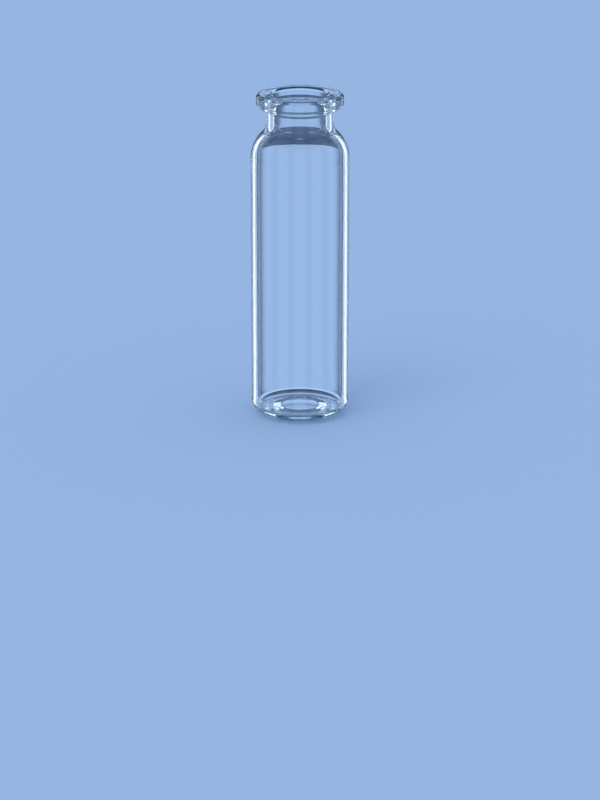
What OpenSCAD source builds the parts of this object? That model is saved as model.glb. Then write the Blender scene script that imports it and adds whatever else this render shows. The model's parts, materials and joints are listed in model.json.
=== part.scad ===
// Clear glass sample vial with a crimp finish: one blown piece, open at the top.
// The origin is at the centre of the base, on the surface that the vial stands on. +Z is up.

/* [Body] */
// Outside diameter of the body
body_d = 22.5; // [20:0.5:40]
// Overall height, from the foot ring to the top of the lip
total_h = 75.5; // [45:0.5:120]
// Thickness of the glass in the body
wall = 1.1; // [0.8:0.1:2]

/* [Base] */
// Outside radius that rolls the body wall into the underside
heel_r = 3.2; // [1.5:0.1:5]
// Width of the heel, from the body wall to the foot ring
heel_w = 4.35; // [3:0.05:6]
// Angle at which the underside rises from the foot ring to the heel
heel_angle = 10; // [2:1:20]
// Width of the flat foot ring that the vial stands on
foot_w = 0.6; // [0.3:0.1:1.5]
// Radius on both edges of the foot ring
foot_edge_r = 0.6; // [0.2:0.1:1.5]
// Height of the hollow pushed up under the base
push_up_h = 0.8; // [0.3:0.1:2]
// Angle of the slope that rises from the foot ring to the middle of the hollow
push_up_angle = 22; // [10:1:40]
// Radius that blends the slope into the level middle of the hollow
push_up_blend_r = 1.5; // [0.5:0.1:4]
// Thickness of the glass in the middle of the base
floor_t = 1.4; // [0.8:0.1:3]
// Inside radius where the body wall meets the level floor
floor_corner_r = 0.8; // [0.3:0.1:3]

/* [Shoulder] */
// Outside radius that rolls the body wall into the shoulder
shoulder_r = 8.4; // [2:0.1:12]
// Angle between the shoulder's slope and the vial's axis
shoulder_angle = 48; // [30:1:70]
// Thickness of the glass in the shoulder's slope
shoulder_wall = 1.15; // [0.8:0.05:2]
// Inside radius that rolls the body wall into the shoulder
inside_shoulder_r = 10.6; // [7:0.1:14]

/* [Neck] */
// Diameter of the bore through the lip and the neck
bore_d = 12.5; // [10.5:0.1:15]
// Thickness of the glass in the neck
neck_wall = 1.5; // [0.8:0.1:2]
// Height of the neck, from the shoulder's slope to the underside of the flange
neck_h = 4.75; // [3:0.05:8]
// Hollow radius between the shoulder and the neck
neck_fillet_r = 1.9; // [0.5:0.1:4]
// Inside radius between the shoulder and the bore
inside_neck_r = 2.1; // [0.5:0.1:5]

/* [Crimp flange] */
// Outside diameter of the flange that the cap is crimped over
flange_d = 19.9; // [19:0.1:22]
// Height of the flange at its rim, from its lower edge to the top of the lip
flange_h = 3.15; // [2.8:0.05:4.5]
// Angle at which the underside of the flange rises towards its rim
underside_angle = 5; // [0:1:20]
// Hollow radius between the neck and the underside of the flange
underside_fillet_r = 1; // [0.3:0.1:1.5]
// Width of the sealing face's bevel at the rim
bevel_w = 0.6; // [0.2:0.1:1]
// Height of the sealing face's bevel at the rim
bevel_h = 0.7; // [0.2:0.1:1.2]
// Fire-polished radius on both edges of the bevel
bevel_edge_r = 0.6; // [0.2:0.1:1]
// Fire-polished radius between the rim and the underside of the flange
rim_low_r = 1.1; // [0.2:0.1:1.2]
// Fire-polished radius at the mouth of the bore
lip_r = 0.5; // [0.1:0.05:0.8]

/* [Hidden] */
$fn = 96;

// Radii of the turned surfaces
body_r = body_d / 2;
cavity_r = body_r - wall;
bore_r = bore_d / 2;
neck_r = bore_r + neck_wall;
flange_r = flange_d / 2;

// Heights, worked out downwards from the top of the lip
rim_low_z = total_h - flange_h;
underside_z = rim_low_z - (flange_r - neck_r) * tan(underside_angle);
neck_low_z = underside_z - neck_h;
shoulder_z = neck_low_z - (body_r - neck_r) / tan(shoulder_angle);

// The inside of the slope runs parallel to its outside, one shoulder wall in
cavity_shoulder_z = shoulder_z + wall / tan(shoulder_angle) - shoulder_wall / sin(shoulder_angle);
cavity_neck_z = cavity_shoulder_z + (cavity_r - bore_r) / tan(shoulder_angle);

// The base is pushed up inside the foot ring, and rises gently outside it
foot_r = body_r - heel_w;
heel_z = heel_w * tan(heel_angle);
push_up_r = foot_r - foot_w;
push_up_top_r = push_up_r - push_up_h / tan(push_up_angle);
floor_z = push_up_h + floor_t;

// Share of a side that the roundings at its two ends may use up
side_share = 0.98;

// A rounding is this much larger than asked, so that its arc crosses its sides cleanly
arc_overlap = 0.0002;

// Share of its radius by which a cut at a corner runs past the corner's sides
overrun = 0.05;

// Share of its reach by which a cut in a hollow corner runs past the ends of its arc
end_overrun = 0.2;

// A corner is [distance from the axis, height, rounding radius]
function corner(outline, i) = outline[(i + len(outline)) % len(outline)];
function point(outline, i) = [corner(outline, i)[0], corner(outline, i)[1]];
function unit(v) = v / norm(v);
function towards(outline, i, j) = unit(point(outline, j) - point(outline, i));
function half_angle(outline, i) =
    acos(towards(outline, i, i - 1) * towards(outline, i, i + 1)) / 2;

// How far a rounding reaches along the sides of its corner, before it is limited
function wanted_reach(outline, i) = corner(outline, i)[2] / tan(half_angle(outline, i));

// How much of the wanted rounding fits on the side from corner i to corner i + 1
function side_room(outline, i) =
    let (
        length = norm(point(outline, i + 1) - point(outline, i)),
        wanted = wanted_reach(outline, i) + wanted_reach(outline, i + 1)
    )
    wanted > side_share * length ? side_share * length / wanted : 1;

function rounding(outline, i) =
    corner(outline, i)[2] * min(side_room(outline, i - 1), side_room(outline, i));
function reach(outline, i) = rounding(outline, i) / tan(half_angle(outline, i));
function arc_end(outline, i, neighbour) =
    point(outline, i) + towards(outline, i, neighbour) * reach(outline, i);
function arc_centre(outline, i) =
    point(outline, i)
    + unit(towards(outline, i, i - 1) + towards(outline, i, i + 1))
    * rounding(outline, i) / sin(half_angle(outline, i));

// An outline runs anticlockwise, so it turns left at a corner that stands out
function stands_out(outline, i) =
    cross(towards(outline, i - 1, i), towards(outline, i, i + 1)) > 0;
function is_round(outline, i) = corner(outline, i)[2] > 0;

// The disc that rounds a corner
module corner_disc(outline, i) {
    translate(arc_centre(outline, i)) circle(r = rounding(outline, i) + arc_overlap);
}

// The part of the plane that a rounding may change, from the centre of its arc to just
// past the corner. A spread above 0 takes in that share more of each side.
module corner_wedge(outline, i, spread) {
    centre = arc_centre(outline, i);
    tip = point(outline, i);
    side_points = [
        for (neighbour = [i - 1, i + 1])
            let (end = arc_end(outline, i, neighbour)) end + spread * (end - tip)
    ];
    far_points = [side_points[0], tip, side_points[1]];
    polygon([centre, for (p = far_points) p + overrun * (p - centre)]);
}

// What a rounding takes away. A corner that stands out loses what lies outside its disc. A
// corner in a hollow has been bridged straight from side to side, and the disc cuts it back.
module corner_cut(outline, i) {
    if (stands_out(outline, i))
        difference() {
            corner_wedge(outline, i, 0);
            corner_disc(outline, i);
        }
    else
        intersection() {
            corner_wedge(outline, i, end_overrun);
            corner_disc(outline, i);
        }
}

// A closed outline with true arcs at its round corners
module rounded_outline(outline) {
    all_corners = [0 : len(outline) - 1];
    difference() {
        polygon([
            for (i = all_corners)
                each is_round(outline, i) && !stands_out(outline, i)
                    ? [arc_end(outline, i, i - 1), arc_end(outline, i, i + 1)]
                    : [point(outline, i)]
        ]);
        for (i = all_corners) if (is_round(outline, i)) corner_cut(outline, i);
    }
}

// Half of the vial's outer section, with the hollow under the base
module outer_section() {
    rounded_outline([
        [0, push_up_h, 0],
        [push_up_top_r, push_up_h, push_up_blend_r],
        [push_up_r, 0, foot_edge_r],
        [foot_r, 0, foot_edge_r],
        [body_r, heel_z, heel_r],
        [body_r, shoulder_z, shoulder_r],
        [neck_r, neck_low_z, neck_fillet_r],
        [neck_r, underside_z, underside_fillet_r],
        [flange_r, rim_low_z, rim_low_r],
        [flange_r, total_h - bevel_h, bevel_edge_r],
        [flange_r - bevel_w, total_h, bevel_edge_r],
        [0, total_h, 0]
    ]);
}

// Half of the section of the hollow inside, which runs out through the lip
module cavity_section() {
    over_lip_z = total_h + lip_r;
    rounded_outline([
        [0, floor_z, 0],
        [cavity_r, floor_z, floor_corner_r],
        [cavity_r, cavity_shoulder_z, inside_shoulder_r],
        [bore_r, cavity_neck_z, inside_neck_r],
        [bore_r, total_h, lip_r],
        [bore_r + 2 * lip_r, total_h, 0],
        [bore_r + 2 * lip_r, over_lip_z, 0],
        [0, over_lip_z, 0]
    ]);
}

// The whole vial: body, shoulder, neck and crimp flange in one piece of clear glass
module vial() {
    color([0.86, 0.93, 0.97, 0.4])
        rotate_extrude()
            difference() {
                outer_section();
                cavity_section();
            }
}

vial();
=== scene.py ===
import json
import math

import bpy
import bmesh
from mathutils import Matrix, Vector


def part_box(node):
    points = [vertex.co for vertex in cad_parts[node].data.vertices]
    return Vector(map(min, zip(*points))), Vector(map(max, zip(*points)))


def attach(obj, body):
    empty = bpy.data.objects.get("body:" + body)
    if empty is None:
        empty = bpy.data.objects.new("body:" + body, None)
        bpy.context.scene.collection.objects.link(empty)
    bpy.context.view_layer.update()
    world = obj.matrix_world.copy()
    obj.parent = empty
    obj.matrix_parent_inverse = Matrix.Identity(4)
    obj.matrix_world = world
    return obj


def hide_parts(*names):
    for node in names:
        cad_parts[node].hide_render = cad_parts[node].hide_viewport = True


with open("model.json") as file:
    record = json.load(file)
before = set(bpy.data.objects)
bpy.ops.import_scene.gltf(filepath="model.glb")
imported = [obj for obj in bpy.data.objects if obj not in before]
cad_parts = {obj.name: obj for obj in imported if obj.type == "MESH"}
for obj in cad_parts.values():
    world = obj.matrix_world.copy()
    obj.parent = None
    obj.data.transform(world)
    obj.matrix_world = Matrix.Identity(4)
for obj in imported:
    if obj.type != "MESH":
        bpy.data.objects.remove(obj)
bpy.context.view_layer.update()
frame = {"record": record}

MM = 0.001

# ---------------------------------------------------------------- sizes, in millimetres
low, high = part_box("vial")
mounts = {m["name"]: m for m in frame["record"]["mounts"]}


def mount_radius(name):
    return mounts[name]["dims"]["r_mm"]


total_h = (high.z - low.z) / MM
body_r = min(high.x, -low.x) / MM    # the box comes from facets, so this stays inside it
bore_r = mount_radius("mouth_bore")
flange_r = mount_radius("crimp_flange")

wall = 1.1
# base
heel_r = 3.2
heel_w = 4.35
heel_angle = 10
foot_w = 0.6
foot_edge_r = 0.6
push_up_h = 0.8
push_up_angle = 22
push_up_blend_r = 1.5
floor_t = 1.4
floor_corner_r = 0.8
# shoulder and neck; the inside was fitted after the CAD's, and is up to 0.3 mm off it
shoulder_r = 8.4
shoulder_angle = 48
shoulder_wall = 0.85
inside_shoulder_angle = 52.4
inside_shoulder_r = 8.8
neck_wall = 1.5
neck_h = 4.75
neck_fillet_r = 1.9
inside_neck_r = 3.8
# crimp flange
flange_h = 3.15
underside_angle = 5
underside_fillet_r = 1
bevel_w = 0.6
bevel_h = 0.7
bevel_edge_r = 0.6
rim_low_r = 1.1
lip_r = 0.8              # 0.5 in the CAD

SIDE_SHARE = 0.98        # share of a side that the roundings at its ends may use up
ARC_STEP = 2.5           # degrees of a rounding between two rings
SEGMENTS = 256           # sides around the axis
ON_AXIS = 1e-6           # a smaller radius than this is the axis


def sin(angle):
    return math.sin(math.radians(angle))


def tan(angle):
    return math.tan(math.radians(angle))


# ---------------------------------------------------------------- outline of the glass
# A corner is (radius, height, rounding). Only the first and the last are left sharp.
def direction(start, end):
    """The unit vector from one corner to another, and the distance between them."""
    length = math.hypot(end[0] - start[0], end[1] - start[1])
    return (end[0] - start[0]) / length, (end[1] - start[1]) / length, length


def half_angle(corners, i):
    """Half of the angle between the two sides that meet at corner i, in radians."""
    ax, ay, _ = direction(corners[i], corners[i - 1])
    bx, by, _ = direction(corners[i], corners[i + 1])
    return math.acos(ax * bx + ay * by) / 2


def wanted_reach(corners, i):
    """How far a rounding reaches along its sides, before it is limited."""
    rounding = corners[i][2]
    return rounding / math.tan(half_angle(corners, i)) if rounding else 0


def side_room(corners, i):
    """How much of its two roundings fits on the side from corner i to the next."""
    length = direction(corners[i], corners[i + 1])[2]
    wanted = wanted_reach(corners, i) + wanted_reach(corners, i + 1)
    return min(1, SIDE_SHARE * length / wanted)


def arc(corners, i):
    """The points of the rounding at corner i."""
    x, y, rounding = corners[i]
    share = min(side_room(corners, i - 1), side_room(corners, i))
    radius = rounding * share
    reach = wanted_reach(corners, i) * share
    ax, ay, _ = direction(corners[i], corners[i - 1])
    bx, by, _ = direction(corners[i], corners[i + 1])
    out = radius / math.sin(half_angle(corners, i)) / math.hypot(ax + bx, ay + by)
    cx, cy = x + (ax + bx) * out, y + (ay + by) * out
    first = math.atan2(y + ay * reach - cy, x + ax * reach - cx)
    last = math.atan2(y + by * reach - cy, x + bx * reach - cx)
    turn = (last - first + math.pi) % (2 * math.pi) - math.pi
    steps = math.ceil(abs(math.degrees(turn)) / ARC_STEP)
    angles = [first + turn * k / steps for k in range(steps + 1)]
    return [(cx + radius * math.cos(a), cy + radius * math.sin(a)) for a in angles]


def rounded(corners):
    """The outline's points, with an arc at each corner between the first and the last."""
    points = [corners[0][:2]]
    for i in range(1, len(corners) - 1):
        points += arc(corners, i)
    return points + [corners[-1][:2]]


def glass_outline():
    """The half section, from the middle of the underside round to that of the inside floor."""
    neck_r = bore_r + neck_wall
    rim_low_z = total_h - flange_h
    underside_z = rim_low_z - (flange_r - neck_r) * tan(underside_angle)
    neck_low_z = underside_z - neck_h
    shoulder_z = neck_low_z - (body_r - neck_r) / tan(shoulder_angle)
    cavity_r = body_r - wall
    cavity_shoulder_z = (shoulder_z + wall / tan(shoulder_angle)
                         - shoulder_wall / sin(shoulder_angle))
    cavity_neck_z = cavity_shoulder_z + (cavity_r - bore_r) / tan(inside_shoulder_angle)
    foot_r = body_r - heel_w
    heel_z = heel_w * tan(heel_angle)
    push_up_r = foot_r - foot_w
    push_up_top_r = push_up_r - push_up_h / tan(push_up_angle)
    floor_z = push_up_h + floor_t
    return rounded([
        (0, push_up_h, 0),
        (push_up_top_r, push_up_h, push_up_blend_r),
        (push_up_r, 0, foot_edge_r),
        (foot_r, 0, foot_edge_r),
        (body_r, heel_z, heel_r),
        (body_r, shoulder_z, shoulder_r),
        (neck_r, neck_low_z, neck_fillet_r),
        (neck_r, underside_z, underside_fillet_r),
        (flange_r, rim_low_z, rim_low_r),
        (flange_r, total_h - bevel_h, bevel_edge_r),
        (flange_r - bevel_w, total_h, bevel_edge_r),
        (bore_r, total_h, lip_r),
        (bore_r, cavity_neck_z, inside_neck_r),
        (cavity_r, cavity_shoulder_z, inside_shoulder_r),
        (cavity_r, floor_z, floor_corner_r),
        (0, floor_z, 0),
    ])


def ring_of(bm, radius, height):
    """A ring of vertices, or one vertex on the axis. The size comes in millimetres."""
    if radius < ON_AXIS:
        return [bm.verts.new((0, 0, height * MM))] * SEGMENTS
    angles = [2 * math.pi * k / SEGMENTS for k in range(SEGMENTS)]
    return [bm.verts.new((radius * MM * math.cos(a), radius * MM * math.sin(a), height * MM))
            for a in angles]


def add_object(name, mesh):
    obj = bpy.data.objects.new(name, mesh)
    bpy.context.scene.collection.objects.link(obj)
    return obj


def lathe(name, outline):
    """Turns a half section about the vertical axis."""
    bm = bmesh.new()
    rings = [ring_of(bm, radius, height) for radius, height in outline]
    for first, second in zip(rings, rings[1:]):
        for k in range(SEGMENTS):
            m = (k + 1) % SEGMENTS
            loop = (first[k], first[m], second[m], second[k])
            bm.faces.new(list(dict.fromkeys(loop)))    # a triangle where a ring is one vertex
    bmesh.ops.recalc_face_normals(bm, faces=bm.faces[:])
    mesh = bpy.data.meshes.new(name)
    bm.to_mesh(mesh)
    bm.free()
    for face in mesh.polygons:
        face.use_smooth = True
    return add_object(name, mesh)


# ---------------------------------------------------------------- node helpers
def new_material(name):
    mat = bpy.data.materials.new(name)
    mat.use_nodes = True
    mat.node_tree.nodes.clear()
    return mat, mat.node_tree


def join(tree, source, target):
    tree.links.new(source, target)


def set_or_join(tree, target, value):
    if isinstance(value, bpy.types.NodeSocket):
        join(tree, value, target)
    else:
        target.default_value = value


def calc(tree, operation, *values):
    """One Math node."""
    node = tree.nodes.new("ShaderNodeMath")
    node.operation = operation
    for socket, value in zip(node.inputs, values):
        set_or_join(tree, socket, value)
    return node.outputs[0]


def ramp(tree, value, start, end):
    """0 up to start, 1 from end on, and smooth between them."""
    node = tree.nodes.new("ShaderNodeMapRange")
    node.interpolation_type = "SMOOTHSTEP"
    node.inputs["From Min"].default_value = start
    node.inputs["From Max"].default_value = end
    join(tree, value, node.inputs["Value"])
    return node.outputs["Result"]


def band(tree, value, start, end, soft):
    """1 between start and end, 0 outside them."""
    rise = ramp(tree, value, start - soft / 2, start + soft / 2)
    fall = ramp(tree, value, end - soft / 2, end + soft / 2)
    return calc(tree, "SUBTRACT", rise, fall)


def below(tree, value, edge):
    """1 below the edge, 0 above it."""
    return calc(tree, "SUBTRACT", 1, ramp(tree, value, *edge))


def both(tree, first, second):
    return calc(tree, "MULTIPLY", first, second)


def mix_colour(tree, factor, first, second):
    node = tree.nodes.new("ShaderNodeMix")
    node.data_type = "RGBA"
    for name, value in (("Factor", factor), ("A", first), ("B", second)):
        socket = [i for i in node.inputs if i.name == name and i.enabled][0]
        set_or_join(tree, socket, value)
    return [o for o in node.outputs if o.enabled][0]


def mix_shader(tree, factor, first, second):
    node = tree.nodes.new("ShaderNodeMixShader")
    set_or_join(tree, node.inputs[0], factor)
    join(tree, first, node.inputs[1])
    join(tree, second, node.inputs[2])
    return node.outputs[0]


def noise(tree, scale, stretch, detail):
    """A noise pattern in the object's own coordinates, stretched along the axes."""
    place = tree.nodes.new("ShaderNodeTexCoord")
    mapping = tree.nodes.new("ShaderNodeMapping")
    mapping.inputs["Scale"].default_value = stretch
    pattern = tree.nodes.new("ShaderNodeTexNoise")
    pattern.inputs["Scale"].default_value = scale
    pattern.inputs["Detail"].default_value = detail
    join(tree, place.outputs["Object"], mapping.inputs["Vector"])
    join(tree, mapping.outputs["Vector"], pattern.inputs["Vector"])
    return pattern.outputs["Fac"]


# ---------------------------------------------------------------- colours, linear
WHITE = (1, 1, 1, 1)
PALE = (0.305, 0.462, 0.761, 1)      # floor, and what lies behind it
PANEL = (0.325, 0.490, 0.800, 1)     # the panels that the glass sees
BRIGHT = (0.480, 0.700, 1.050, 1)    # top of the panel behind the vial
GREY = (0.070, 0.115, 0.220, 1)      # beside the panel behind
GAP = (0.140, 0.215, 0.375, 1)       # between the soft boxes
LOW = (0.050, 0.085, 0.165, 1)       # low behind the vial
DARK = (0.010, 0.022, 0.065, 1)      # the ceiling, and beside the grey
TUBE = (2.30, 2.42, 2.48, 1)         # the light tubes
DAY = (0.6, 0.6, 0.6, 1)             # what lights the floor from all round
SHADOW = (0.90, 0.92, 0.94, 1)       # what one surface of the glass lets through of a lamp
TINT = (0.72, 0.90, 0.92, 1)         # of thick glass

# ---------------------------------------------------------------- finish of the glass
GLASS_IOR = 1.5
TINT_DENSITY = 25                    # per metre
WAVE_SCALE, WAVE_DETAIL = 900, 1     # waves about a millimetre wide, along the tube
WAVE_STRETCH = (1, 1, 0.04)
WAVE_STRENGTH, WAVE_DEPTH = 0.25, 0.00001
HAZE = 0.01                          # roughness where the haze is densest
HAZE_SCALE, HAZE_DETAIL = 300, 2
HAZE_STRETCH = (1, 1, 0.1)

# ---------------------------------------------------------------- finish of the floor
FLOOR_POLISH = 0.97                  # share of the polish that the glass sees
POLISH_EDGE = (0.10, 0.22)           # it fades in here: 1 - cos of the angle from steep


# ---------------------------------------------------------------- materials
def drawn_tube_bump(tree):
    """The faint lengthwise waves of drawn tube."""
    bump = tree.nodes.new("ShaderNodeBump")
    bump.inputs["Strength"].default_value = WAVE_STRENGTH
    bump.inputs["Distance"].default_value = WAVE_DEPTH
    join(tree, noise(tree, WAVE_SCALE, WAVE_STRETCH, WAVE_DETAIL), bump.inputs["Height"])
    return bump.outputs["Normal"]


def uneven_haze(tree):
    """A very slight roughness, more in some places than in others."""
    haze = noise(tree, HAZE_SCALE, HAZE_STRETCH, HAZE_DETAIL)
    return both(tree, haze, HAZE)


def glass_material():
    """Clear glass. Lamps shine through it, so its shadow stays light."""
    mat, tree = new_material("clear_glass")
    out = tree.nodes.new("ShaderNodeOutputMaterial")
    glass = tree.nodes.new("ShaderNodeBsdfPrincipled")
    glass.inputs["Base Color"].default_value = WHITE
    glass.inputs["IOR"].default_value = GLASS_IOR
    glass.inputs["Transmission Weight"].default_value = 1
    join(tree, uneven_haze(tree), glass.inputs["Roughness"])
    join(tree, drawn_tube_bump(tree), glass.inputs["Normal"])
    clear = tree.nodes.new("ShaderNodeBsdfTransparent")
    clear.inputs["Color"].default_value = SHADOW
    path = tree.nodes.new("ShaderNodeLightPath")
    surface = mix_shader(tree, path.outputs["Is Shadow Ray"], glass.outputs[0], clear.outputs[0])
    join(tree, surface, out.inputs["Surface"])
    tint = tree.nodes.new("ShaderNodeVolumeAbsorption")
    tint.inputs["Color"].default_value = TINT
    tint.inputs["Density"].default_value = TINT_DENSITY
    join(tree, tint.outputs[0], out.inputs["Volume"])
    return mat


def seen_through_glass(tree):
    """1 for what the glass shows, by refraction or in a mirror, 0 for other rays."""
    path = tree.nodes.new("ShaderNodeLightPath")
    return calc(tree, "MAXIMUM", path.outputs["Is Transmission Ray"],
                path.outputs["Is Glossy Ray"])


def floor_material():
    """A plain pale floor. Rays out of the glass meet a polished one, which shows the studio."""
    mat, tree = new_material("pale_floor")
    out = tree.nodes.new("ShaderNodeOutputMaterial")
    matt = tree.nodes.new("ShaderNodeBsdfDiffuse")
    matt.inputs["Color"].default_value = PALE
    polish = tree.nodes.new("ShaderNodeBsdfAnisotropic")
    polish.inputs["Color"].default_value = WHITE
    polish.inputs["Roughness"].default_value = 0
    weight = tree.nodes.new("ShaderNodeLayerWeight")
    grazing = ramp(tree, weight.outputs["Facing"], *POLISH_EDGE)
    share = both(tree, both(tree, seen_through_glass(tree), FLOOR_POLISH), grazing)
    top = mix_shader(tree, share, matt.outputs[0], polish.outputs[0])
    side = tree.nodes.new("ShaderNodeNewGeometry")
    underside = tree.nodes.new("ShaderNodeBsdfTransparent")
    surface = mix_shader(tree, side.outputs["Backfacing"], top, underside.outputs[0])
    join(tree, surface, out.inputs["Surface"])
    return mat


# ---------------------------------------------------------------- studio
# Angles are in degrees. Turn is counted both ways from straight behind the vial, and height
# from level. A pair is where a soft edge starts and ends, unless its comment says otherwise.
BEHIND = (               # the soft edge at which each colour takes over
    (6.5, 13, GREY),
    (15.5, 18.5, DARK),
    (23.5, 25, PANEL),
)
BEHIND_END = (51, 53)    # where the soft boxes take over
BRIGHT_TOP = (23, 30.5)  # lowest and highest of the brighter top of the panel behind
BRIGHT_SOFT = 2
BRIGHT_TURN = (8, 10)
LOW_BAND = (-0.5, 10.6)  # lowest and highest of the dark band low behind the vial
LOW_SOFT = 0.4
LOW_TURN = (23, 24)
TUBES = (24, 40)         # first and last turn with light tubes
TUBES_SOFT = 0.5
TUBE_STEP = 4            # between two tubes, the first at 26
TUBE_EDGE = (0.3, 1.2)   # from the middle of a tube
BOX_STEP = 45            # between two soft boxes, all round
BOX_EDGE = (9, 21)       # from the middle of a box
BACK_CEILING = (33, 37)
FRONT_CEILING = (46, 50)
FRONT = (85, 95)         # the turn at which front takes over from back
SKYLIGHT_TURN = (37, 97)  # first and last turn with skylights
SKYLIGHT_SOFT = 2
SKYLIGHT_EDGE = (7, 9)   # from the middle of a skylight
SKYLIGHT_TOP = (58, 64)


def directions(tree):
    """The turn, without its sign, and the height of a direction."""
    place = tree.nodes.new("ShaderNodeTexCoord")
    split = tree.nodes.new("ShaderNodeSeparateXYZ")
    join(tree, place.outputs["Generated"], split.inputs[0])
    x, y, z = split.outputs
    turn = calc(tree, "ABSOLUTE", calc(tree, "ARCTAN2", x, y))
    height = calc(tree, "ARCSINE", z)
    return [calc(tree, "DEGREES", angle) for angle in (turn, height)]


def tubes_share(tree, turn):
    """Upright light tubes at both sides of the panel behind."""
    half = TUBE_STEP / 2
    off = calc(tree, "PINGPONG", calc(tree, "ADD", turn, half), half)
    return both(tree, band(tree, turn, *TUBES, TUBES_SOFT), below(tree, off, TUBE_EDGE))


def walls_colour(tree, turn, height, off):
    """A pale panel behind the vial with dark gaps and light tubes beside it, then boxes."""
    colour = PANEL
    top = band(tree, height, *BRIGHT_TOP, BRIGHT_SOFT)
    bright = both(tree, top, below(tree, turn, BRIGHT_TURN))
    colour = mix_colour(tree, bright, colour, BRIGHT)
    for start, end, next_colour in BEHIND:
        colour = mix_colour(tree, ramp(tree, turn, start, end), colour, next_colour)
    low_band = band(tree, height, *LOW_BAND, LOW_SOFT)
    low_band = both(tree, low_band, below(tree, turn, LOW_TURN))
    colour = mix_colour(tree, low_band, colour, LOW)
    colour = mix_colour(tree, tubes_share(tree, turn), colour, TUBE)
    boxes = mix_colour(tree, ramp(tree, off, *BOX_EDGE), PANEL, GAP)
    return mix_colour(tree, ramp(tree, turn, *BEHIND_END), colour, boxes)


def skylights_share(tree, turn, height, off):
    """Bright openings in the ceiling, over the soft boxes at both sides."""
    skylights = band(tree, turn, *SKYLIGHT_TURN, SKYLIGHT_SOFT)
    skylights = both(tree, skylights, below(tree, off, SKYLIGHT_EDGE))
    return both(tree, skylights, below(tree, height, SKYLIGHT_TOP))


def ceiling_share(tree, turn, height):
    """The dark ceiling starts lower behind the vial than in front of it."""
    back = ramp(tree, height, *BACK_CEILING)
    front = ramp(tree, height, *FRONT_CEILING)
    is_front = ramp(tree, turn, *FRONT)
    difference = both(tree, calc(tree, "SUBTRACT", front, back), is_front)
    return calc(tree, "ADD", back, difference)


def studio_colour(tree):
    """Walls under a dark ceiling. Off is the turn from the nearest soft box's middle."""
    turn, height = directions(tree)
    off = calc(tree, "PINGPONG", turn, BOX_STEP / 2)
    walls = walls_colour(tree, turn, height, off)
    ceiling = mix_colour(tree, skylights_share(tree, turn, height, off), DARK, PANEL)
    return mix_colour(tree, ceiling_share(tree, turn, height), walls, ceiling)


def studio_world():
    """The glass shows the studio, the camera sees plain pale wall, and DAY lights the floor."""
    world = bpy.data.worlds.new("studio")
    world.use_nodes = True
    tree = world.node_tree
    tree.nodes.clear()
    path = tree.nodes.new("ShaderNodeLightPath")
    colour = mix_colour(tree, seen_through_glass(tree), DAY, studio_colour(tree))
    colour = mix_colour(tree, path.outputs["Is Camera Ray"], colour, PALE)
    back = tree.nodes.new("ShaderNodeBackground")
    join(tree, colour, back.inputs["Color"])
    out = tree.nodes.new("ShaderNodeOutputWorld")
    join(tree, back.outputs[0], out.inputs["Surface"])
    return world


def soft_sun(name, azimuth, elevation, strength, spread):
    """A sun that the glass doesn't mirror."""
    data = bpy.data.lights.new(name, "SUN")
    data.energy = strength
    data.angle = math.radians(spread)
    lamp = add_object(name, data)
    lamp.rotation_euler = (math.radians(90 - elevation), 0, math.radians(azimuth))
    lamp.visible_glossy = False
    lamp.visible_transmission = False


def square_floor(name, half, height):
    mesh = bpy.data.meshes.new(name)
    corners = [(-half, -half, height), (half, -half, height),
               (half, half, height), (-half, half, height)]
    mesh.from_pydata(corners, [], [(0, 1, 2, 3)])
    return add_object(name, mesh)


# ---------------------------------------------------------------- the vial
vial = lathe("vial_glass", glass_outline())
vial.data.materials.append(glass_material())
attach(vial, "root")
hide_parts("vial")

# ---------------------------------------------------------------- floor and light
FLOOR_HALF = 4.0
FLOOR_GAP = 0.00002      # keeps the floor's face off the foot ring's
floor = square_floor("floor", FLOOR_HALF, -FLOOR_GAP)
floor.data.materials.append(floor_material())

scene = bpy.context.scene
scene.world = studio_world()

# The sun gives what DAY leaves of the floor's light, so the floor renders as PALE
SUN_TURN = -40
SUN_HEIGHT = 52
SUN_SPREAD = 40
soft_sun("key", SUN_TURN, SUN_HEIGHT, (1 - DAY[0]) * math.pi / sin(SUN_HEIGHT), SUN_SPREAD)

# ---------------------------------------------------------------- camera
BOUNCES = 32             # clear glass needs many
CAMERA_BACK = 0.6629     # metres from the axis
CAMERA_UP = 0.2212       # metres over the floor
CAMERA_TILT = 18.25      # degrees below the horizon
CLIP_START = 0.01        # metres, for close views
SENSOR = 36              # millimetres, like LENS
LENS = 134.64
cam_data = bpy.data.cameras.new("camera")
cam_data.sensor_fit = "VERTICAL"
cam_data.sensor_height = SENSOR
cam_data.lens = LENS
cam_data.clip_start = CLIP_START
camera = add_object("camera", cam_data)
camera.location = (0, -CAMERA_BACK, CAMERA_UP)
camera.rotation_euler = (math.radians(90 - CAMERA_TILT), 0, 0)
scene.camera = camera
scene.view_settings.view_transform = "Standard"
scene.cycles.max_bounces = BOUNCES
scene.cycles.transmission_bounces = BOUNCES
scene.cycles.glossy_bounces = BOUNCES
